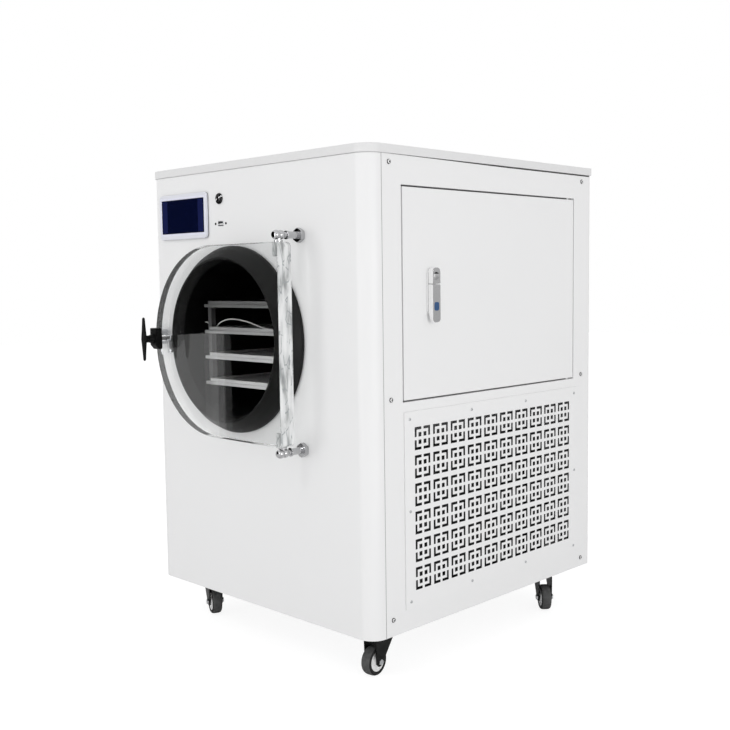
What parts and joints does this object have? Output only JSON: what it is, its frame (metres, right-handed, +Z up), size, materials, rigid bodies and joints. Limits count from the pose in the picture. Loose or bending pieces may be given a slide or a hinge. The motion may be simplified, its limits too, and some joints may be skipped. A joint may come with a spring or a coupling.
{
  "type": "freeze dryer",
  "caption": "Laboratory freeze dryer: white cabinet on casters, round vacuum chamber with hinged clear door, heated shelves, touch panel, service door with lock and pierced side grille.",
  "frame": {"origin": "centre of the outer box on the floor plane, under the cabinet", "axes": "+Z up, the front with the chamber door faces -Y, +X is the operator's right"},
  "size_m": [0.6176, 0.7702, 0.8897],
  "materials": {
    "white_paint": "white powder coat, fine satin texture",
    "white_plastic": "moulded white bezel",
    "black_plastic": "moulded black plastic",
    "black_rubber": "black silicone rubber",
    "tyre_black": "black tyre on a white wheel centre",
    "black_steel": "black coated steel",
    "polished_steel": "polished stainless steel",
    "stainless": "brushed stainless steel",
    "zinc_steel": "zinc-plated sheet",
    "lock_chrome": "satin chrome",
    "clear_acrylic": "clear cast acrylic with polished edges",
    "screen_glass": "dark display window",
    "copper": "copper tube",
    "aluminium": "mill aluminium",
    "lead_white": "white lead jacket"
  },
  "bodies": {
    "cabinet": {"front_panel": "white_paint", "left_side_panel": "white_paint", "right_side_panel": "white_paint", "back_panel": "white_paint", "top_cover": "white_paint", "side_grille": "white_paint", "base_tray": "zinc_steel", "inner_divider": "zinc_steel", "chamber_cradle": "zinc_steel", "fan_shroud": "zinc_steel", "chamber_drum": "stainless", "shelf_rack": "stainless", "usb_socket": "stainless", "vacuum_port": "stainless", "shelf_1": "stainless", "shelf_2": "stainless", "shelf_3": "stainless", "shelf_4": "stainless", "tray_1": "stainless", "tray_2": "stainless", "tray_3": "stainless", "tray_4": "stainless", "chamber_gasket": "black_rubber", "cooling_coil": "copper", "probe_lead": "lead_white", "probe_tip": "polished_steel", "hmi_housing": "white_plastic", "hmi_screen": "screen_glass", "power_button_bezel": "polished_steel", "hinge_post_top": "polished_steel", "hinge_post_bottom": "polished_steel", "latch_keeper": "polished_steel", "cable_gland": "black_plastic", "caster_plate_front_right": "black_steel", "caster_plate_front_left": "black_steel", "caster_plate_rear_right": "black_steel", "caster_plate_rear_left": "black_steel", "compressor": "black_steel", "condenser": "aluminium", "control_plate": "aluminium"},
    "chamber_door": {"chamber_door": "clear_acrylic", "latch_block": "black_plastic"},
    "latch": {"wing_knob": "black_plastic", "latch_spindle": "polished_steel"},
    "power_button": {"power_button": "polished_steel"},
    "service_door": {"service_door": "white_paint", "lock_plate": "lock_chrome"},
    "lock_rotor": {"lock_rotor": "lock_chrome"},
    "lock_lever": {"lock_lever": "lock_chrome"},
    "lock_button": {"lock_button": "lock_chrome"},
    "fan": {"fan_blades": "black_plastic"},
    "swivel_front_right": {"caster_fork_front_right": "black_steel"},
    "wheel_front_right": {"caster_wheel_front_right": "tyre_black"},
    "swivel_front_left": {"caster_fork_front_left": "black_steel"},
    "wheel_front_left": {"caster_wheel_front_left": "tyre_black"},
    "swivel_rear_right": {"caster_fork_rear_right": "black_steel"},
    "wheel_rear_right": {"caster_wheel_rear_right": "tyre_black"},
    "swivel_rear_left": {"caster_fork_rear_left": "black_steel"},
    "wheel_rear_left": {"caster_wheel_rear_left": "tyre_black"}
  },
  "joints": [
    {"name": "chamber_door_hinge", "type": "hinge", "parent": "cabinet", "child": "chamber_door", "pos_m": [0.13415, -0.33221, 0.5675], "axis": [0, 0, 1], "range_deg": [0, 110]},
    {"name": "latch_turn", "type": "hinge", "parent": "chamber_door", "child": "latch", "pos_m": [-0.19535, -0.33221, 0.569], "axis": [0, 1, 0], "range_deg": [0, 90]},
    {"name": "power_button_push", "type": "slide", "parent": "cabinet", "child": "power_button", "axis": [0, 1, 0], "range_m": [0, 0.0025], "stiffness_N_per_m": 400},
    {"name": "service_door_hinge", "type": "hinge", "parent": "cabinet", "child": "service_door", "pos_m": [0.28765, 0.28258, 0.65], "axis": [0, 0, 1], "range_deg": [0, 110]},
    {"name": "lock_turn", "type": "hinge", "parent": "service_door", "child": "lock_rotor", "pos_m": [0.29365, -0.13442, 0.679], "axis": [-1, 0, 0], "range_deg": [0, 90]},
    {"name": "lever_lift", "type": "hinge", "parent": "lock_rotor", "child": "lock_lever", "pos_m": [0.30525, -0.13442, 0.6635], "axis": [0, -1, 0], "range_deg": [0, 30]},
    {"name": "lock_button_push", "type": "slide", "parent": "lock_rotor", "child": "lock_button", "axis": [-1, 0, 0], "range_m": [0, 0.0024], "stiffness_N_per_m": 500},
    {"name": "fan_spin", "type": "hinge", "parent": "cabinet", "child": "fan", "pos_m": [0.18965, 0.05609, 0.272], "axis": [1, 0, 0], "continuous": true},
    {"name": "swivel_front_right", "type": "hinge", "parent": "cabinet", "child": "swivel_front_right", "pos_m": [0.23565, -0.20192, 0.06], "axis": [0, 0, 1], "continuous": true},
    {"name": "wheel_front_right_roll", "type": "hinge", "parent": "swivel_front_right", "child": "wheel_front_right", "pos_m": [0.23816, -0.22578, 0.025], "axis": [0.9945, 0.1045, 0], "continuous": true},
    {"name": "swivel_front_left", "type": "hinge", "parent": "cabinet", "child": "swivel_front_left", "pos_m": [-0.24835, -0.20192, 0.06], "axis": [0, 0, 1], "continuous": true},
    {"name": "wheel_front_left_roll", "type": "hinge", "parent": "swivel_front_left", "child": "wheel_front_left", "pos_m": [-0.22642, -0.21168, 0.025], "axis": [0.4067, 0.9135, 0], "continuous": true},
    {"name": "swivel_rear_right", "type": "hinge", "parent": "cabinet", "child": "swivel_rear_right", "pos_m": [0.23565, 0.27409, 0.06], "axis": [0, 0, 1], "continuous": true},
    {"name": "wheel_rear_right_roll", "type": "hinge", "parent": "swivel_rear_right", "child": "wheel_rear_right", "pos_m": [0.25349, 0.25803, 0.025], "axis": [0.6691, 0.7431, 0], "continuous": true},
    {"name": "swivel_rear_left", "type": "hinge", "parent": "cabinet", "child": "swivel_rear_left", "pos_m": [-0.24835, 0.27409, 0.06], "axis": [0, 0, 1], "continuous": true},
    {"name": "wheel_rear_left_roll", "type": "hinge", "parent": "swivel_rear_left", "child": "wheel_rear_left", "pos_m": [-0.25577, 0.25126, 0.025], "axis": [0.9511, -0.309, 0], "continuous": true}
  ]
}
